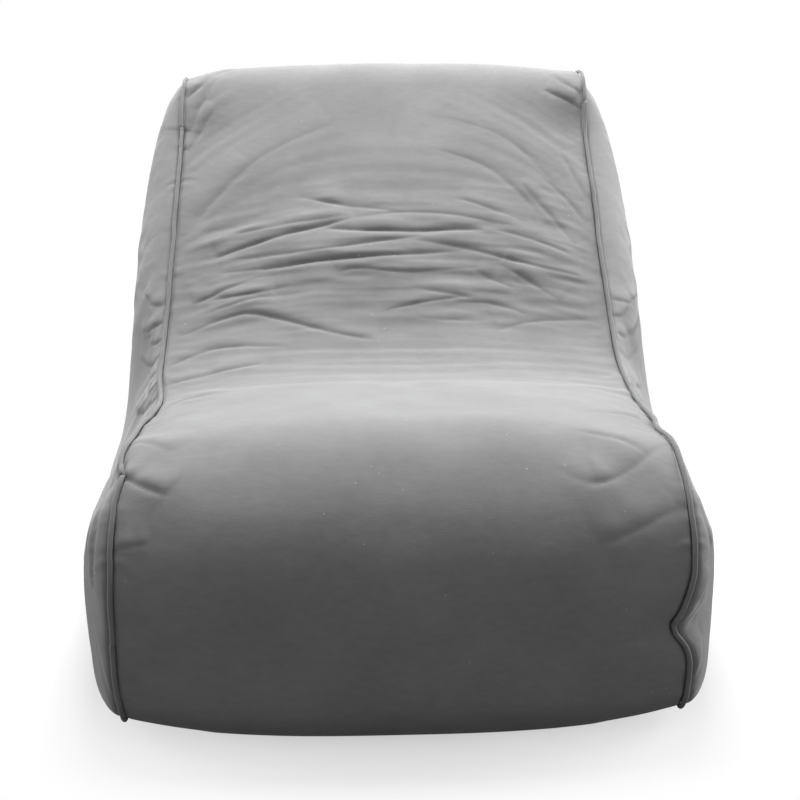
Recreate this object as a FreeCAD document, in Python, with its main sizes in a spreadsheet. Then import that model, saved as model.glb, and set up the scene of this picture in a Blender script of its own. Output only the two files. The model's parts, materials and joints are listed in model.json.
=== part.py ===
import FreeCAD
import Part
import math
import os

from FreeCAD import Placement, Rotation, Vector

# A bean bag lounge chair: a removable cover sewn from a long centre strip and two domed side panels,
# piped along both side seams and closed by a zip low on its rear, round two inner bags of polystyrene beads.
# One inner bag makes the seat and the other the sloping back, and each has a zip of its own.
#
# Frame: millimetres, +Z up, the sitter faces -Y, the origin is on the floor at the middle of the base.
# The body's shape is one side outline in the YZ plane, made of straight runs and tangent arcs. Across the
# chair the outline is drawn in towards the side seams, which gives the strip its crown, and beyond the
# seams it shrinks about a core point, which gives the side panels their dome. Each layer, from the cover's
# outside to the beads, is the same body at a greater depth under the surface.

DIMENSIONS = (
    # alias, value, what it is
    ("seam_half_width", 310, "from the centre plane to each side seam"),
    ("crown", 26, "how far the outline is drawn in at the side seams"),
    ("side_bulge", 75, "how far each side panel domes out from its seam"),
    ("core_y", 90, "core point that the domes shrink towards"),
    ("core_z", 120, "core point that the domes shrink towards"),
    ("front_foot_y", -501, "outline corner under the front"),
    ("front_brow_y", -490, "outline corner at the front of the seat"),
    ("front_brow_z", 330, "outline corner at the front of the seat"),
    ("seat_dip_y", -40, "outline corner where seat meets back"),
    ("seat_dip_z", 297, "outline corner where seat meets back"),
    ("head_front_y", 366, "outline corner at the top of the back"),
    ("head_front_z", 692, "outline corner at the top of the back"),
    ("head_rear_y", 480, "outline corner behind the top"),
    ("head_rear_z", 640, "outline corner behind the top"),
    ("rear_y", 505, "rear side of the outline before it is flattened"),
    ("rear_hip_z", 300, "outline corner where the rear turns upright"),
    ("below_floor", 8, "how far the outline dips under the floor before it is flattened"),
    ("foot_radius", 60, "outline radius at front and rear feet"),
    ("brow_radius", 165, "outline radius at the front of the seat"),
    ("dip_radius", 230, "outline radius of the hollow between seat and back"),
    ("head_radius", 86, "outline radii over the top of the back"),
    ("hip_radius", 400, "outline radius of the rear hip"),
    ("rear_flat_y", 495, "upright flat at the rear, where the cover zip lies"),
    ("cover_wall", 1.5, "cover fabric"),
    ("bag_gap", 2, "room between the cover and the inner bags"),
    ("bag_wall", 1, "inner bag fabric"),
    ("bead_gap", 0.5, "room between an inner bag and its beads"),
    ("rear_room", 12, "room between the cover and the back bag at the rear flat"),
    ("bag_spacing", 14, "room between the two inner bags"),
    ("divide_top_y", 8, "where the plane between the bags meets the seat hollow"),
    ("divide_lean", 11.7, "lean of that plane from upright, in degrees"),
    ("base_seam_angle", 40, "place of the base panel's seams round the feet, in degrees from straight down"),
    ("piping_radius", 2.9, "piping sleeve, outside"),
    ("piping_bore", 1.9, "piping sleeve, inside"),
    ("piping_cord", 1.6, "cord in the piping"),
    ("piping_proud", 3.4, "from the side seam out to the piping's centre"),
    ("piping_flange", 0.8, "the sleeve's flange, held in the seam between strip and side panel"),
    ("flange_depth", 1, "flange past the cover's inner face"),
    ("cover_zip_length", 400, "chain of the cover zip"),
    ("cover_zip_height", 95, "height of the cover zip above the floor"),
    ("back_zip_length", 360, "chain of the back bag's zip"),
    ("back_zip_height", 160, "height of the back bag's zip above the floor"),
    ("seat_zip_length", 360, "chain of the seat bag's zip"),
    ("seat_zip_height", 150, "height of the seat bag's zip above the floor"),
    ("zip_slot", 14, "width of the slot in the fabric over a zip"),
    ("tape_wide", 14, "one zip tape across"),
    ("tape_thick", 0.8, "zip tape"),
    ("tape_inner_edge", 2.2, "from the zip's centre line to the tape's edge"),
    ("tape_overrun", 14, "tape past each end of the chain"),
    ("window_overrun", 9.8, "slot in the fabric past each end of the chain"),
    ("window_reach", 10, "how far the block that cuts a slot reaches each side of the fabric"),
    ("tooth_pitch", 3, "spacing of the teeth on one tape"),
    ("tooth_long", 1.2, "one tooth along the zip"),
    ("tooth_reach", 0.9, "how far a tooth reaches over the centre line"),
    ("tooth_clearance", 0.25, "from the tips of one row's teeth to the spine of the other row"),
    ("tape_clearance", 0.2, "from a row of teeth to the edge of its tape"),
    ("chain_thick", 3, "teeth through the tape"),
    ("stop_long", 3, "end stop along the zip"),
    ("stop_split", 0.4, "from the zip's centre line to each stop at the closed end"),
    ("slider_stop_gap", 1, "from the slider to the stops at the closed end"),
    ("chain_stop_gap", 0.5, "from the chain's other end to the stop there"),
    ("slider_long", 12, "slider along the zip"),
    ("slider_wide", 10, "slider across the zip"),
    ("slider_mouth", 3.8, "gap between the slider's plates"),
    ("slider_plate", 1.4, "slider plate thickness"),
    ("slider_rest_gap", 1.5, "from the slider's centre to the end of the chain when closed"),
    ("slider_corner", 1, "cut corner of a slider plate"),
    ("slider_taper", 1.2, "how much narrower each side of a slider plate is at its tail"),
    ("flange_thick", 0.8, "slider side flanges"),
    ("flange_lip", 0.9, "how far a slider flange reaches from its plate"),
    ("flange_short", 2.5, "from a slider flange to each end of the slider"),
    ("join_overlap", 0.2, "how far the slider's pieces reach into each other where they are one casting"),
    ("post_radius", 1.2, "post that parts the teeth"),
    ("post_offset", 3.6, "post's centre ahead of the slider's centre"),
    ("bail_long", 9.2, "arch that holds the pull, along the zip"),
    ("bail_high", 3.6, "arch above the slider's plate"),
    ("bail_bar", 1.4, "bar of the arch"),
    ("bail_wide", 1.6, "arch across"),
    ("pull_pin_x", -2, "pull's pivot along the slider"),
    ("pull_pin_up", 1.2, "pull's pivot above the slider's plate"),
    ("pull_pin_radius", 0.7, "pull's pivot pin"),
    ("pull_long", 34, "pull from its pivot to its tip"),
    ("pull_wide", 9, "pull across"),
    ("pull_fork_end", 0.5, "the pull's prongs past the pivot"),
    ("pull_taper", 1.2, "how much narrower each side of the pull is at its prongs"),
    ("pull_corner", 2, "cut corner at the pull's tip"),
    ("pull_pin_short", 3, "how much shorter the pin is than the pull is wide"),
    ("pull_eye_long", 8, "opening in the pull, from its pivot"),
    ("pull_eye_wide", 3.4, "opening in the pull, across"),
    ("pull_thick", 1.4, "pull plate"),
    ("lock_long", 5, "lock housing on an inner bag's slider"),
    ("lock_wide", 3, "lock housing across"),
    ("lock_high", 1.2, "lock housing above the plate"),
    ("label_long", 45, "blank care label along the zip"),
    ("label_deep", 40, "blank care label from its sewn edge"),
    ("label_thick", 0.4, "blank care label"),
    ("label_x", -120, "blank care label's place along the zip"),
)

# (share of the seam half width, share of the crown): the sections of the centre strip
STRIP_STATIONS = (0.0, 0.3, 0.55, 0.75, 0.9, 1.0)
CROWN_POWER = 3
# The sections of a side dome, as the share of the outline that is left. The dome's height at a share s is
# (1 - s ** DOME_FLAT) ** DOME_ROUND of its bulge: flatter on top and steeper at the seam than a sphere's cap.
DOME_STATIONS = (1.0, 0.97, 0.9, 0.8, 0.68, 0.52, 0.34, 0.15)
DOME_FLAT = 2.4
DOME_ROUND = 0.55
BIG = 1500  # larger than the chair

doc = FreeCAD.newDocument("bean_bag_lounger")
sheet = doc.addObject("Spreadsheet::Sheet", "Dimensions")


def fill_sheet():
    for row, (alias, value, words) in enumerate(DIMENSIONS, start=1):
        sheet.set(f"A{row}", words)
        sheet.set(f"B{row}", str(value))
        sheet.setAlias(f"B{row}", alias)
    doc.recompute()


def dim(alias):
    return float(sheet.get(alias))


def bind(obj, **sizes):
    """Binds properties to expressions in the sheet's aliases, written with a leading D. for the sheet."""
    for prop, expression in sizes.items():
        obj.setExpression(prop, expression.replace("D.", "Dimensions."))
    return obj


# ---------------------------------------------------------------- the body's outline and its sections


def corners():
    """The side outline's corners as (y, z, radius), clockwise from the front foot over the seat."""
    floor = -dim("below_floor")
    return [
        (dim("front_foot_y"), floor, dim("foot_radius")),
        (dim("front_brow_y"), dim("front_brow_z"), dim("brow_radius")),
        (dim("seat_dip_y"), dim("seat_dip_z"), dim("dip_radius")),
        (dim("head_front_y"), dim("head_front_z"), dim("head_radius")),
        (dim("head_rear_y"), dim("head_rear_z"), dim("head_radius")),
        (dim("rear_y"), dim("rear_hip_z"), dim("hip_radius")),
        (dim("rear_y"), floor, dim("foot_radius")),
    ]


def drawn_in(points, inset):
    """The same outline, parallel to the first and inset inside it."""
    done = []
    for i, (y, z, radius) in enumerate(points):
        before, after = points[i - 1], points[(i + 1) % len(points)]
        come = Vector(0, y - before[0], z - before[1]).normalize()
        leave = Vector(0, after[0] - y, after[1] - z).normalize()
        come_in, leave_in = Vector(0, come.z, -come.y), Vector(0, leave.z, -leave.y)
        shift = (come_in + leave_in) * (inset / (1 + come_in.dot(leave_in)))
        convex = come.y * leave.z - come.z * leave.y < 0
        done.append((y + shift.y, z + shift.z, radius + (-inset if convex else inset)))
    return done


def outline(x, inset, share=1.0):
    """A closed wire at x: the outline drawn in by inset, then shrunk to share of its size about the core."""
    core = Vector(x, dim("core_y"), dim("core_z"))
    arcs = []
    points = drawn_in(corners(), inset)
    for i, (y, z, radius) in enumerate(points):
        here = core + (Vector(x, y, z) - core) * share
        before, after = (core + (Vector(x, p[0], p[1]) - core) * share
                         for p in (points[i - 1], points[(i + 1) % len(points)]))
        back, on = (before - here).normalize(), (after - here).normalize()
        half = back.getAngle(on) / 2
        run = radius * share / math.tan(half)
        centre = here + (back + on).normalize() * (radius * share / math.sin(half))
        middle = centre + (here - centre).normalize() * (radius * share)
        arcs.append(Part.Arc(here + back * run, middle, here + on * run))
    edges = []
    for arc, following in zip(arcs, arcs[1:] + arcs[:1]):
        edges.append(arc.toShape())
        edges.append(Part.LineSegment(arc.EndPoint, following.StartPoint).toShape())
    return Part.Wire(edges)


def loft(name, wires):
    """A Part::Loft through the wires, each of which is an object of the document."""
    sections = []
    for i, wire in enumerate(wires):
        section = doc.addObject("Part::Feature", f"{name}_section_{i}")
        section.Shape = wire
        sections.append(section)
    made = doc.addObject("Part::Loft", name)
    made.Sections = sections
    made.Solid = True
    made.Ruled = False
    return made


def strip_body(name, depth, seam_gap=0):
    """The body between the two side seams, depth under the surface, seam_gap short of the seams in all."""
    half, crown = dim("seam_half_width") - seam_gap / 2, dim("crown")
    stations = sorted({side * share for share in STRIP_STATIONS for side in (-1, 1)})
    return loft(name, [outline(half * s, crown * abs(s) ** CROWN_POWER + depth) for s in stations])


def dome_body(name, depth, side, seam_gap=0):
    """The body outside a side seam, depth under the surface. side is -1 for left and 1 for right."""
    half, inset = dim("seam_half_width") + seam_gap / 2, dim("crown") + depth
    bulge = dim("side_bulge") - depth
    sections = [(share, (1 - share**DOME_FLAT) ** DOME_ROUND) for share in DOME_STATIONS]
    return loft(name, [outline(side * (half + bulge * out), inset, share) for share, out in sections])


def boolean(kind, name, base, tool):
    made = doc.addObject(f"Part::{kind}", name)
    made.Base, made.Tool = base, tool
    return made


def fused(name, *pieces):
    made = doc.addObject("Part::MultiFuse", name)
    made.Shapes = list(pieces)
    return made


def above_floor(name, floor_rise, rear_set_in):
    """A block that keeps what is above the floor and ahead of the rear flat."""
    made = doc.addObject("Part::Box", name)
    made.Length, made.Height = 2 * BIG, BIG
    bind(made, Width=f"{BIG} mm + D.rear_flat_y * 1 mm - ({rear_set_in}) * 1 mm")
    made.Placement = Placement(Vector(-BIG, -BIG, floor_rise), Rotation())
    return made


def prism(name, points):
    """A YZ polygon extruded right across the chair."""
    face = Part.Face(Part.makePolygon([Vector(-BIG, y, z) for y, z in points + points[:1]]))
    made = doc.addObject("Part::Feature", name)
    made.Shape = face.extrude(Vector(2 * BIG, 0, 0))
    return made


def block(name, x, y, z, placement=Placement()):
    """A Part::Box between pairs of expressions, placed after it is sized."""
    made = doc.addObject("Part::Box", name)
    bind(made, Length=f"({x[1]}) - ({x[0]})", Width=f"({y[1]}) - ({y[0]})", Height=f"({z[1]}) - ({z[0]})")
    low = [value_of(pair[0]) for pair in (x, y, z)]
    made.Placement = placement.multiply(Placement(Vector(*low), Rotation()))
    return made


def value_of(expression):
    """The number that an expression in the sheet's aliases gives, in millimetres."""
    text = str(expression)
    for alias in sorted((row[0] for row in DIMENSIONS), key=len, reverse=True):
        text = text.replace(f"D.{alias}", f"({dim(alias)})")
    return FreeCAD.Units.Quantity(text.replace(" mm", "")).Value


NODES = []


def node(obj, label):
    obj.Label = label
    NODES.append(obj)
    return obj


# ---------------------------------------------------------------- the cover


def make_cover():
    wall, flange = dim("cover_wall"), dim("piping_flange")
    outside = boolean("Common", "strip_outside", strip_body("strip_outer", 0, flange),
                      above_floor("keep_outer", 0, 0))
    inside = boolean("Common", "strip_inside", strip_body("strip_inner", wall, flange),
                     above_floor("keep_inner", wall, "D.cover_wall"))
    tube = boolean("Cut", "strip_tube", outside, inside)

    foot_z = dim("foot_radius") - dim("below_floor")
    angle = math.radians(dim("base_seam_angle"))
    out, down = BIG * math.sin(angle), BIG * math.cos(angle)
    front_y, rear_y = dim("front_foot_y") + dim("foot_radius"), dim("rear_y") - dim("foot_radius")
    base_zone = prism("base_zone", [(front_y, foot_z), (front_y - out, foot_z - down),
                                    (rear_y + out, foot_z - down), (rear_y, foot_z)])
    top_y, top_z = dim("head_rear_y") - dim("head_radius"), dim("head_rear_z") - dim("head_radius")
    rear_zone = prism("rear_zone", [(top_y, top_z), (BIG, BIG), (BIG, -BIG), (0, -BIG)])

    base = boolean("Common", "base_cut", tube, base_zone)
    above_base = boolean("Cut", "above_base", tube, base_zone)
    main = boolean("Cut", "main_cut", above_base, rear_zone)
    rear = boolean("Common", "rear_cut", above_base, rear_zone)

    zip_z = dim("cover_zip_height")
    slot_half = "(D.cover_zip_length * 0.5 + D.window_overrun) * 1 mm"
    low, high = (f"(D.cover_zip_height {sign} D.zip_slot * 0.5) * 1 mm" for sign in "-+")
    window = block("cover_zip_window", (f"-{slot_half}", slot_half),
                   ("(D.rear_flat_y - D.window_reach) * 1 mm", f"{BIG} mm"), (low, high))
    opened = boolean("Cut", "rear_opened", rear, window)
    under_zip = prism("under_zip", [(0, -BIG), (0, zip_z), (BIG, zip_z), (BIG, -BIG)])

    node(main, "front_seat_and_back_panel")
    node(base, "base_panel")
    node(boolean("Cut", "rear_upper", opened, under_zip), "rear_upper_panel")
    node(boolean("Common", "rear_lower", opened, under_zip), "rear_lower_panel")
    for side, word in ((-1, "left"), (1, "right")):
        shell = boolean("Cut", f"{word}_dome", dome_body(f"{word}_dome_outer", 0, side, flange),
                        dome_body(f"{word}_dome_inner", wall, side, flange))
        node(shell, f"{word}_side_panel")


def seam_flange(name, side):
    """The sleeve's flange: a flat ring in the seam, from inside the sleeve's wall to behind the cover."""
    sleeve_wall = (dim("piping_radius") + dim("piping_bore")) / 2
    thick = dim("piping_flange")
    x = side * dim("seam_half_width") - thick / 2
    rim = outline(x, dim("crown") - dim("piping_proud") + sleeve_wall)
    edge = outline(x, dim("crown") + dim("cover_wall") + dim("flange_depth"))
    ring = doc.addObject("Part::Feature", name)
    ring.Shape = Part.Face(rim).cut(Part.Face(edge)).Faces[0].extrude(Vector(thick, 0, 0))
    return ring


def make_piping():
    """A cord in a fabric sleeve along each side seam, round the whole outline."""
    for side, word in ((-1, "left"), (1, "right")):
        seam = doc.addObject("Part::Feature", f"{word}_seam_line")
        seam.Shape = outline(side * dim("seam_half_width"), dim("crown") - dim("piping_proud"))
        swept = {}
        for part, radius in (("outer", "piping_radius"), ("bore", "piping_bore"), ("cord", "piping_cord")):
            start = seam.Shape.Edges[1]
            ring = doc.addObject("Part::Circle", f"{word}_{part}_ring")
            bind(ring, Radius=f"D.{radius} * 1 mm")
            along = start.tangentAt(start.FirstParameter)
            ring.Placement = Placement(start.Vertexes[0].Point, Rotation(Vector(0, 0, 1), along))
            sweep = doc.addObject("Part::Sweep", f"{word}_{part}_sweep")
            sweep.Sections = [ring]
            sweep.Spine = (seam, [f"Edge{i + 1}" for i in range(len(seam.Shape.Edges))])
            sweep.Solid = True
            swept[part] = sweep
        flanged = fused(f"{word}_flanged", swept["outer"], seam_flange(f"{word}_flange", side))
        node(boolean("Cut", f"{word}_sleeve", flanged, swept["bore"]), f"{word}_piping_sleeve")
        node(swept["cord"], f"{word}_piping_cord")


# ---------------------------------------------------------------- the inner bags and their beads


def inner_body(name, depth, floor_rise, rear_set_in):
    """The whole body at a depth under the surface, flattened at the floor and the rear."""
    whole = fused(f"{name}_whole", strip_body(f"{name}_strip", depth),
                  dome_body(f"{name}_left", depth, -1), dome_body(f"{name}_right", depth, 1))
    return boolean("Common", f"{name}_kept", whole, above_floor(f"{name}_keep", floor_rise, rear_set_in))


def divide_point():
    """A point on the plane between the bags, and the unit vectors up the plane and out to its rear."""
    lean = math.radians(dim("divide_lean"))
    up, out = Vector(0, -math.sin(lean), math.cos(lean)), Vector(0, math.cos(lean), math.sin(lean))
    return Vector(0, dim("divide_top_y"), dim("seat_dip_z")), up, out


def one_side(name, offset, front):
    """The half of space ahead of the dividing plane, or behind it, starting offset from the plane."""
    point, up, out = divide_point()
    way = -1 if front else 1
    edge = point + out * (offset * way)
    far = out * (BIG * way)
    ring = [edge + up * BIG, edge - up * BIG, edge - up * BIG + far, edge + up * BIG + far]
    return prism(name, [(p.y, p.z) for p in ring])


def make_inner_bags():
    wall, gap, bag = dim("cover_wall"), dim("bag_gap"), dim("bag_wall")
    rear = "D.cover_wall + D.rear_room"
    bag_depth, bag_rise = wall + gap, wall + dim("bead_gap")
    lining = inner_body("bag_outer", bag_depth, bag_rise, rear)
    hollow = inner_body("bag_hollow", bag_depth + bag, bag_rise + bag, f"{rear} + D.bag_wall")
    zip_room = dim("tape_thick") / 2 + dim("slider_mouth") / 2 + dim("slider_plate") + dim("bead_gap")
    beads = inner_body("beads", bag_depth + bag + dim("bead_gap"), bag_rise + bag + dim("bead_gap"),
                       f"{rear} + D.bag_wall + {zip_room}")
    half_gap = dim("bag_spacing") / 2
    for front, word in ((True, "seat"), (False, "back")):
        skin = boolean("Common", f"{word}_skin", lining, one_side(f"{word}_skin_side", half_gap, front))
        room = boolean("Common", f"{word}_room", hollow, one_side(f"{word}_room_side", half_gap + bag, front))
        shell = boolean("Cut", f"{word}_shell", skin, room)
        spot, length = zip_place(word)
        slot_half = f"({length} * 0.5 + D.window_overrun) * 1 mm"
        window = block(f"{word}_zip_window", (f"-{slot_half}", slot_half),
                       ("-D.window_reach * 1 mm", "D.window_reach * 1 mm"),
                       ("-D.zip_slot * 0.5 mm", "D.zip_slot * 0.5 mm"), spot)
        node(boolean("Cut", f"{word}_bag", shell, window), f"{word}_inner_bag")
        bead_offset = half_gap + bag + (zip_room if front else dim("bead_gap"))
        bead_side = one_side(f"{word}_bead_side", bead_offset, front)
        node(boolean("Common", f"{word}_beads", beads, bead_side), f"{word}_bead_fill")


# ---------------------------------------------------------------- the zips


def zip_place(word):
    """(placement, expression of its length) of a zip. Its own frame: X along it, Y out of the fabric, Z up
    across it, and the origin in the middle of its tape's thickness."""
    half_tape = dim("tape_thick") / 2
    if word == "seat":
        point, up, out = divide_point()
        face = point - out * (dim("bag_spacing") / 2 + dim("bag_wall") + half_tape)
        spot = face + up * ((dim("seat_zip_height") - face.z) / up.z)
        return Placement(spot, Rotation(Vector(1, 0, 0), dim("divide_lean"))), "D.seat_zip_length"
    set_in, height = {
        "cover": (dim("cover_wall"), dim("cover_zip_height")),
        "back": (dim("cover_wall") + dim("rear_room") + dim("bag_wall"), dim("back_zip_height")),
    }[word]
    spot = Vector(0, dim("rear_flat_y") - set_in - half_tape, height)
    return Placement(spot, Rotation()), f"D.{word}_zip_length"


def make_tape(word, spot, length, way, name):
    """One tape, above the centre line (way 1) or below it (way -1)."""
    near, far = "D.tape_inner_edge * 1 mm", "(D.tape_inner_edge + D.tape_wide) * 1 mm"
    across = (near, far) if way > 0 else (f"-{far}", f"-{near}")
    end = f"({length} * 0.5 + D.tape_overrun) * 1 mm"
    return block(name, (f"-{end}", end), ("-D.tape_thick * 0.5 mm", "D.tape_thick * 0.5 mm"), across, spot)


def make_teeth(spot, length, way, name):
    """One tape's row of teeth: a comb whose teeth reach over the centre line between the other row's."""
    pitch, tooth, reach = dim("tooth_pitch"), dim("tooth_long"), dim("tooth_reach")
    spine, back = reach + dim("tooth_clearance"), dim("tape_inner_edge") - dim("tape_clearance")
    count = int(length / pitch)
    start = -length / 2 + (0 if way > 0 else pitch / 2)
    points = []
    for i in range(count):
        x = start + i * pitch
        points += [Vector(x, 0, way * spine), Vector(x, 0, -way * reach),
                   Vector(x + tooth, 0, -way * reach), Vector(x + tooth, 0, way * spine)]
    end = start + (count - 1) * pitch + tooth
    points += [Vector(end, 0, way * back), Vector(start, 0, way * back)]
    face = Part.Face(Part.makePolygon(points + points[:1]))
    comb = doc.addObject("Part::Feature", f"{name}_comb")
    comb.Shape = face.extrude(Vector(0, dim("chain_thick"), 0))
    comb.Placement = spot.multiply(Placement(Vector(0, -dim("chain_thick") / 2, 0), Rotation()))
    return comb


def make_stops(spot, length, name):
    """Two stops at the closed end, one on each tape, and one across both at the other end."""
    thick = ("-D.chain_thick * 0.5 mm", "D.chain_thick * 0.5 mm")
    slider_end = f"{length} * 0.5 - D.slider_rest_gap + D.slider_long * 0.5 + D.slider_stop_gap"
    closed = (f"({slider_end}) * 1 mm", f"({slider_end} + D.stop_long) * 1 mm")
    chain_end = f"{length} * 0.5 + D.chain_stop_gap"
    far = (f"-({chain_end} + D.stop_long) * 1 mm", f"-({chain_end}) * 1 mm")
    edge, split = "D.tape_inner_edge * 1 mm", "D.stop_split * 1 mm"
    upper = block(f"{name}_upper", closed, thick, (split, edge), spot)
    lower = block(f"{name}_lower", closed, thick, (f"-{edge}", f"-{split}"), spot)
    across = block(f"{name}_across", far, thick, (f"-{edge}", edge), spot)
    group = doc.addObject("Part::Compound", name)
    group.Links = [upper, lower, across]
    return group


def make_slider(word, spot, length, with_bail):
    """Two plates joined by the post that parts the teeth, flanges at their sides, and on top an arch for
    a pull or the housing of a lock."""
    centre = value_of(f"{length} * 0.5 - D.slider_rest_gap")
    here = spot.multiply(Placement(Vector(centre, 0, 0), Rotation()))
    name = f"{word}_slider"
    pieces = []
    for way in (-1, 1):
        plate = plate_body(f"{name}_plate_{'inner' if way < 0 else 'outer'}", here, way)
        pieces.append(plate)
        lip = "(D.slider_mouth * 0.5 - D.flange_lip) * 1 mm"
        root = "(D.slider_mouth * 0.5 + D.join_overlap) * 1 mm"
        rise = (lip, root) if way > 0 else (f"-{root}", f"-{lip}")
        for side in (-1, 1):
            edge = ("(D.slider_wide * 0.5 - D.flange_thick) * 1 mm", "D.slider_wide * 0.5 mm")
            across = edge if side > 0 else (f"-({edge[1]})", f"-({edge[0]})")
            flange_half = "(D.slider_long * 0.5 - D.flange_short) * 1 mm"
            pieces.append(block(f"{name}_flange_{way + 1}_{side + 1}", (f"-{flange_half}", flange_half),
                                rise, across, here))
    post = doc.addObject("Part::Cylinder", f"{name}_post")
    bind(post, Radius="D.post_radius * 1 mm", Height="(D.slider_mouth + 2 * D.join_overlap) * 1 mm")
    post_top = Vector(dim("post_offset"), dim("slider_mouth") / 2 + dim("join_overlap"), 0)
    post.Placement = here.multiply(Placement(post_top, Rotation(Vector(1, 0, 0), 90)))
    pieces.append(post)
    top = "(D.slider_mouth * 0.5 + D.slider_plate) * 1 mm"
    root = f"{top} - D.join_overlap * 1 mm"
    if with_bail:
        half, wide = "D.bail_long * 0.5 mm", "D.bail_wide * 0.5 mm"
        arch = block(f"{name}_arch", (f"-{half}", half), (root, f"{top} + D.bail_high * 1 mm"),
                     (f"-{wide}", wide), here)
        inner = "(D.bail_long * 0.5 - D.bail_bar) * 1 mm"
        window = block(f"{name}_arch_window", (f"-{inner}", inner),
                       (f"{top}", f"{top} + (D.bail_high - D.bail_bar) * 1 mm"),
                       ("-D.bail_wide * 1 mm", "D.bail_wide * 1 mm"), here)
        pieces.append(boolean("Cut", f"{name}_bail", arch, window))
    else:
        half, wide = "D.lock_long * 0.5 mm", "D.lock_wide * 0.5 mm"
        pieces.append(block(f"{name}_lock", (f"-{half}", half), (root, f"{top} + D.lock_high * 1 mm"),
                            (f"-{wide}", wide), here))
    return fused(name, *pieces), here


def plate_body(name, here, way):
    """A slider plate: a PartDesign body, a shield-shaped pad that narrows behind the post."""
    body = doc.addObject("PartDesign::Body", name)
    sketch = body.newObject("Sketcher::SketchObject", f"{name}_sketch")
    plane = next(f for f in body.Origin.OriginFeatures if f.Role == "XY_Plane")
    sketch.AttachmentSupport = [(plane, "")]
    sketch.MapMode = "FlatFace"
    half, wide, corner = dim("slider_long") / 2, dim("slider_wide") / 2, dim("slider_corner")
    waist = wide - dim("slider_taper")
    ring = [(-half, -waist), (-corner, -wide), (half - corner, -wide), (half, -wide + corner),
            (half, wide - corner), (half - corner, wide), (-corner, wide), (-half, waist)]
    points = [Vector(x, y, 0) for x, y in ring]
    for a, b in zip(points, points[1:] + points[:1]):
        sketch.addGeometry(Part.LineSegment(a, b), False)
    pad = body.newObject("PartDesign::Pad", f"{name}_pad")
    pad.Profile = sketch
    bind(pad, Length="D.slider_plate * 1 mm")
    low = dim("slider_mouth") / 2 if way > 0 else -dim("slider_mouth") / 2 - dim("slider_plate")
    outer_face = Vector(0, low + dim("slider_plate"), 0)
    body.Placement = here.multiply(Placement(outer_face, Rotation(Vector(1, 0, 0), 90)))
    return body


def make_pull(here):
    """The cover slider's pull: a pin through the slider's arch, two prongs beside it and a tapered tab."""
    up = dim("slider_mouth") / 2 + dim("slider_plate") + dim("pull_pin_up")
    pivot = here.multiply(Placement(Vector(dim("pull_pin_x"), up, 0), Rotation()))
    body = doc.addObject("PartDesign::Body", "pull_tab")
    sketch = body.newObject("Sketcher::SketchObject", "pull_tab_sketch")
    plane = next(f for f in body.Origin.OriginFeatures if f.Role == "XY_Plane")
    sketch.AttachmentSupport = [(plane, "")]
    sketch.MapMode = "FlatFace"
    wide, eye, eye_half = dim("pull_wide") / 2, dim("pull_eye_long"), dim("pull_eye_wide") / 2
    tip, neck, corner = dim("pull_long"), wide - dim("pull_taper"), dim("pull_corner")
    end = dim("pull_fork_end")
    ring = [(end, -neck), (-eye, -neck), (-tip + corner, -wide), (-tip, -wide + corner),
            (-tip, wide - corner), (-tip + corner, wide), (-eye, neck), (end, neck),
            (end, eye_half), (-eye, eye_half), (-eye, -eye_half), (end, -eye_half)]
    points = [Vector(x, y, 0) for x, y in ring]
    for a, b in zip(points, points[1:] + points[:1]):
        sketch.addGeometry(Part.LineSegment(a, b), False)
    pad = body.newObject("PartDesign::Pad", "pull_tab_pad")
    pad.Profile = sketch
    pad.Midplane = True
    bind(pad, Length="D.pull_thick * 1 mm")
    body.Placement = pivot.multiply(Placement(Vector(0, 0, 0), Rotation(Vector(1, 0, 0), 90)))
    pin = doc.addObject("Part::Cylinder", "pull_pin")
    bind(pin, Radius="D.pull_pin_radius * 1 mm", Height="(D.pull_wide - D.pull_pin_short) * 1 mm")
    pin_low = Vector(0, 0, -(dim("pull_wide") - dim("pull_pin_short")) / 2)
    pin.Placement = pivot.multiply(Placement(pin_low, Rotation()))
    return fused("pull", body, pin)


def make_zip(word, with_pull):
    spot, length = zip_place(word)
    chain = value_of(f"{length} * 1 mm")
    owner = "cover" if word == "cover" else f"{word}_bag"
    for way, which in ((1, "upper"), (-1, "lower")):
        node(make_tape(word, spot, length, way, f"{word}_tape_{which}"), f"{owner}_zip_{which}_tape")
        node(make_teeth(spot, chain, way, f"{word}_teeth_{which}"), f"{owner}_zip_{which}_teeth")
    node(make_stops(spot, length, f"{word}_stops"), f"{owner}_zip_stops")
    slider, here = make_slider(word, spot, length, with_pull)
    node(slider, f"{owner}_zip_slider")
    if with_pull:
        node(make_pull(here), f"{owner}_zip_pull")


def make_label():
    """A blank care label, sewn behind the cover zip's lower tape and hanging inside the cover."""
    spot, _ = zip_place("cover")
    top = "(D.tape_inner_edge + D.tape_wide * 0.5) * 1 mm"
    label = block("label", ("D.label_x * 1 mm", "(D.label_x + D.label_long) * 1 mm"),
                  ("-(D.tape_thick * 0.5 + D.label_thick) * 1 mm", "-D.tape_thick * 0.5 mm"),
                  (f"-({top} + D.label_deep * 1 mm)", f"-{top}"), spot)
    node(label, "care_label")


def check_and_write():
    """Stops if anything failed, then writes each node's shape."""
    doc.recompute()
    bad = [o.Name for o in doc.Objects if {"Invalid", "Error"} & set(o.State)]
    if bad:
        raise RuntimeError(f"these objects failed: {bad}")
    os.makedirs("parts", exist_ok=True)
    for obj in NODES:
        shape = obj.Shape
        if shape.isNull() or not shape.isValid() or not shape.Solids or shape.Volume <= 0:
            raise RuntimeError(f"{obj.Label} has no valid solid")
        solids, faces, litres = len(shape.Solids), len(shape.Faces), shape.Volume / 1e6
        print(f"{obj.Label:28s} solids {solids}  faces {faces:4d}  {litres:9.4f} l")
        shape.exportStep(os.path.join("parts", f"{obj.Label}.step"))


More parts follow.
